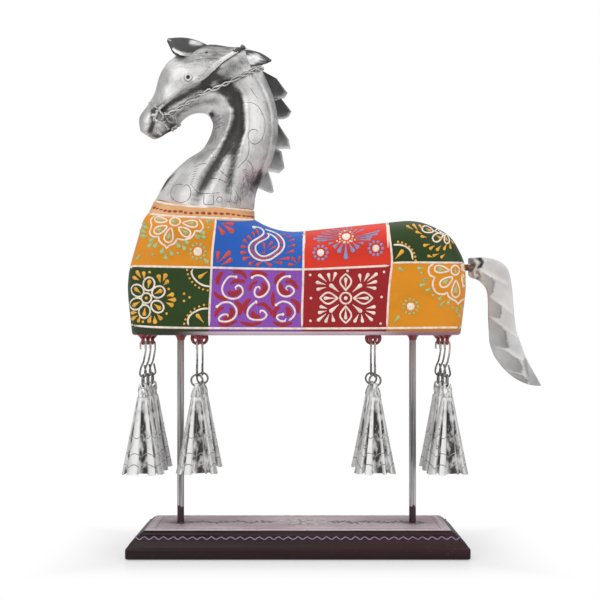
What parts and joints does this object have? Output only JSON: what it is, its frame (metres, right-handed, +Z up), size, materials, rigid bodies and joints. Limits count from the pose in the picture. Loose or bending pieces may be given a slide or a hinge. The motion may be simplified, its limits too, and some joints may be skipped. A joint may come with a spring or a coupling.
{
  "type": "horse figure with bells",
  "caption": "Painted wooden horse with a sheet-metal head and tail, raised on two rods above a moulded base, with bells hanging on hooks and rings under both ends.",
  "frame": {"origin": "middle of the base's underside", "axes": "+X toward the tail, +Y toward the far side, +Z up"},
  "size_m": [0.3034, 0.097, 0.3746],
  "materials": {
    "base_paint": "glossy dark maroon paint on wood",
    "body_paint": "glossy hand-painted wood in coloured panels",
    "wood": "bare wood, hidden inside the neck",
    "rod_steel": "plain drawn steel rod",
    "sheet": "beaten bright sheet metal",
    "bell_sheet": "embossed sheet metal, worn bright on the ribs",
    "wire": "bent steel wire",
    "eye_paint": "dark red painted screw eyes"
  },
  "bodies": {
    "horse": {"base": "base_paint", "body": "body_paint", "chin_strap": "sheet", "ear_nails": "sheet", "eye_studs": "sheet", "far_cheek_strap": "sheet", "far_ear": "sheet", "far_head_half": "sheet", "far_rein": "sheet", "forelock": "sheet", "front_post": "rod_steel", "mane_1": "sheet", "mane_2": "sheet", "mane_3": "sheet", "mane_4": "sheet", "mane_5": "sheet", "near_cheek_strap": "sheet", "near_ear": "sheet", "near_head_half": "sheet", "near_rein": "sheet", "neck_plug": "wood", "noseband": "sheet", "rear_post": "rod_steel", "screw_eyes": "eye_paint", "tail": "sheet", "tail_peg": "rod_steel"},
    "chest_near_hook": {"chest_near_hook": "wire"},
    "chest_near_ring": {"chest_near_ring": "wire"},
    "chest_near_bell": {"chest_near_bell": "bell_sheet"},
    "chest_middle_hook": {"chest_middle_hook": "wire"},
    "chest_middle_ring": {"chest_middle_ring": "wire"},
    "chest_middle_bell": {"chest_middle_bell": "bell_sheet"},
    "chest_far_hook": {"chest_far_hook": "wire"},
    "chest_far_ring": {"chest_far_ring": "wire"},
    "chest_far_bell": {"chest_far_bell": "bell_sheet"},
    "front_near_hook": {"front_near_hook": "wire"},
    "front_near_ring": {"front_near_ring": "wire"},
    "front_near_bell": {"front_near_bell": "bell_sheet"},
    "front_far_hook": {"front_far_hook": "wire"},
    "front_far_ring": {"front_far_ring": "wire"},
    "front_far_bell": {"front_far_bell": "bell_sheet"},
    "rear_near_hook": {"rear_near_hook": "wire"},
    "rear_near_ring": {"rear_near_ring": "wire"},
    "rear_near_bell": {"rear_near_bell": "bell_sheet"},
    "rear_far_hook": {"rear_far_hook": "wire"},
    "rear_far_ring": {"rear_far_ring": "wire"},
    "rear_far_bell": {"rear_far_bell": "bell_sheet"},
    "rump_near_hook": {"rump_near_hook": "wire"},
    "rump_near_ring": {"rump_near_ring": "wire"},
    "rump_near_bell": {"rump_near_bell": "bell_sheet"},
    "rump_middle_hook": {"rump_middle_hook": "wire"},
    "rump_middle_ring": {"rump_middle_ring": "wire"},
    "rump_middle_bell": {"rump_middle_bell": "bell_sheet"},
    "rump_far_hook": {"rump_far_hook": "wire"},
    "rump_far_ring": {"rump_far_ring": "wire"},
    "rump_far_bell": {"rump_far_bell": "bell_sheet"}
  },
  "joints": [
    {"name": "chest_near_hook_in_eye", "type": "hinge", "parent": "horse", "child": "chest_near_hook", "pos_m": [-0.11, -0.0275, 0.1498], "axis": [0, 1, 0], "range_deg": [-2, 40]},
    {"name": "chest_near_ring_on_hook", "type": "hinge", "parent": "chest_near_hook", "child": "chest_near_ring", "pos_m": [-0.11, -0.0275, 0.1262], "axis": [1, 0, 0], "range_deg": [-35, 2.5]},
    {"name": "chest_near_bell_on_ring", "type": "hinge", "parent": "chest_near_ring", "child": "chest_near_bell", "pos_m": [-0.11, -0.0275, 0.1196], "axis": [0, 1, 0], "range_deg": [-2, 40]},
    {"name": "chest_middle_hook_in_eye", "type": "hinge", "parent": "horse", "child": "chest_middle_hook", "pos_m": [-0.11, 0, 0.1498], "axis": [0, 1, 0], "range_deg": [-2, 40]},
    {"name": "chest_middle_ring_on_hook", "type": "hinge", "parent": "chest_middle_hook", "child": "chest_middle_ring", "pos_m": [-0.11, 0, 0.1262], "axis": [1, 0, 0], "range_deg": [-2.5, 2.5]},
    {"name": "chest_middle_bell_on_ring", "type": "hinge", "parent": "chest_middle_ring", "child": "chest_middle_bell", "pos_m": [-0.11, 0, 0.1196], "axis": [0, 1, 0], "range_deg": [-2, 40]},
    {"name": "chest_far_hook_in_eye", "type": "hinge", "parent": "horse", "child": "chest_far_hook", "pos_m": [-0.11, 0.0275, 0.1498], "axis": [0, 1, 0], "range_deg": [-2, 40]},
    {"name": "chest_far_ring_on_hook", "type": "hinge", "parent": "chest_far_hook", "child": "chest_far_ring", "pos_m": [-0.11, 0.0275, 0.1262], "axis": [1, 0, 0], "range_deg": [-2.5, 35]},
    {"name": "chest_far_bell_on_ring", "type": "hinge", "parent": "chest_far_ring", "child": "chest_far_bell", "pos_m": [-0.11, 0.0275, 0.1196], "axis": [0, 1, 0], "range_deg": [-2, 40]},
    {"name": "front_near_hook_in_eye", "type": "hinge", "parent": "horse", "child": "front_near_hook", "pos_m": [-0.072, -0.024, 0.1498], "axis": [1, 0, 0], "range_deg": [-40, 4]},
    {"name": "front_near_ring_on_hook", "type": "hinge", "parent": "front_near_hook", "child": "front_near_ring", "pos_m": [-0.072, -0.024, 0.1262], "axis": [0, 1, 0], "range_deg": [-35, 5]},
    {"name": "front_near_bell_on_ring", "type": "hinge", "parent": "front_near_ring", "child": "front_near_bell", "pos_m": [-0.072, -0.024, 0.1196], "axis": [1, 0, 0], "range_deg": [-35, 2]},
    {"name": "front_far_hook_in_eye", "type": "hinge", "parent": "horse", "child": "front_far_hook", "pos_m": [-0.072, 0.024, 0.1498], "axis": [1, 0, 0], "range_deg": [-4, 40]},
    {"name": "front_far_ring_on_hook", "type": "hinge", "parent": "front_far_hook", "child": "front_far_ring", "pos_m": [-0.072, 0.024, 0.1262], "axis": [0, 1, 0], "range_deg": [-35, 5]},
    {"name": "front_far_bell_on_ring", "type": "hinge", "parent": "front_far_ring", "child": "front_far_bell", "pos_m": [-0.072, 0.024, 0.1196], "axis": [1, 0, 0], "range_deg": [-2, 35]},
    {"name": "rear_near_hook_in_eye", "type": "hinge", "parent": "horse", "child": "rear_near_hook", "pos_m": [0.055, -0.024, 0.1498], "axis": [1, 0, 0], "range_deg": [-40, 4]},
    {"name": "rear_near_ring_on_hook", "type": "hinge", "parent": "rear_near_hook", "child": "rear_near_ring", "pos_m": [0.055, -0.024, 0.1262], "axis": [0, 1, 0], "range_deg": [-12, 35]},
    {"name": "rear_near_bell_on_ring", "type": "hinge", "parent": "rear_near_ring", "child": "rear_near_bell", "pos_m": [0.055, -0.024, 0.1196], "axis": [1, 0, 0], "range_deg": [-35, 2]},
    {"name": "rear_far_hook_in_eye", "type": "hinge", "parent": "horse", "child": "rear_far_hook", "pos_m": [0.055, 0.024, 0.1498], "axis": [1, 0, 0], "range_deg": [-4, 40]},
    {"name": "rear_far_ring_on_hook", "type": "hinge", "parent": "rear_far_hook", "child": "rear_far_ring", "pos_m": [0.055, 0.024, 0.1262], "axis": [0, 1, 0], "range_deg": [-12, 35]},
    {"name": "rear_far_bell_on_ring", "type": "hinge", "parent": "rear_far_ring", "child": "rear_far_bell", "pos_m": [0.055, 0.024, 0.1196], "axis": [1, 0, 0], "range_deg": [-2, 35]},
    {"name": "rump_near_hook_in_eye", "type": "hinge", "parent": "horse", "child": "rump_near_hook", "pos_m": [0.106, -0.0275, 0.1498], "axis": [0, 1, 0], "range_deg": [-40, 1.2]},
    {"name": "rump_near_ring_on_hook", "type": "hinge", "parent": "rump_near_hook", "child": "rump_near_ring", "pos_m": [0.106, -0.0275, 0.1262], "axis": [1, 0, 0], "range_deg": [-35, 2.5]},
    {"name": "rump_near_bell_on_ring", "type": "hinge", "parent": "rump_near_ring", "child": "rump_near_bell", "pos_m": [0.106, -0.0275, 0.1196], "axis": [0, 1, 0], "range_deg": [-40, 1.2]},
    {"name": "rump_middle_hook_in_eye", "type": "hinge", "parent": "horse", "child": "rump_middle_hook", "pos_m": [0.106, 0, 0.1498], "axis": [0, 1, 0], "range_deg": [-30, 1.2]},
    {"name": "rump_middle_ring_on_hook", "type": "hinge", "parent": "rump_middle_hook", "child": "rump_middle_ring", "pos_m": [0.106, 0, 0.1262], "axis": [1, 0, 0], "range_deg": [-2.5, 2.5]},
    {"name": "rump_middle_bell_on_ring", "type": "hinge", "parent": "rump_middle_ring", "child": "rump_middle_bell", "pos_m": [0.106, 0, 0.1196], "axis": [0, 1, 0], "range_deg": [-35, 1.2]},
    {"name": "rump_far_hook_in_eye", "type": "hinge", "parent": "horse", "child": "rump_far_hook", "pos_m": [0.106, 0.0275, 0.1498], "axis": [0, 1, 0], "range_deg": [-40, 1.2]},
    {"name": "rump_far_ring_on_hook", "type": "hinge", "parent": "rump_far_hook", "child": "rump_far_ring", "pos_m": [0.106, 0.0275, 0.1262], "axis": [1, 0, 0], "range_deg": [-2.5, 35]},
    {"name": "rump_far_bell_on_ring", "type": "hinge", "parent": "rump_far_ring", "child": "rump_far_bell", "pos_m": [0.106, 0.0275, 0.1196], "axis": [0, 1, 0], "range_deg": [-40, 1.2]}
  ]
}
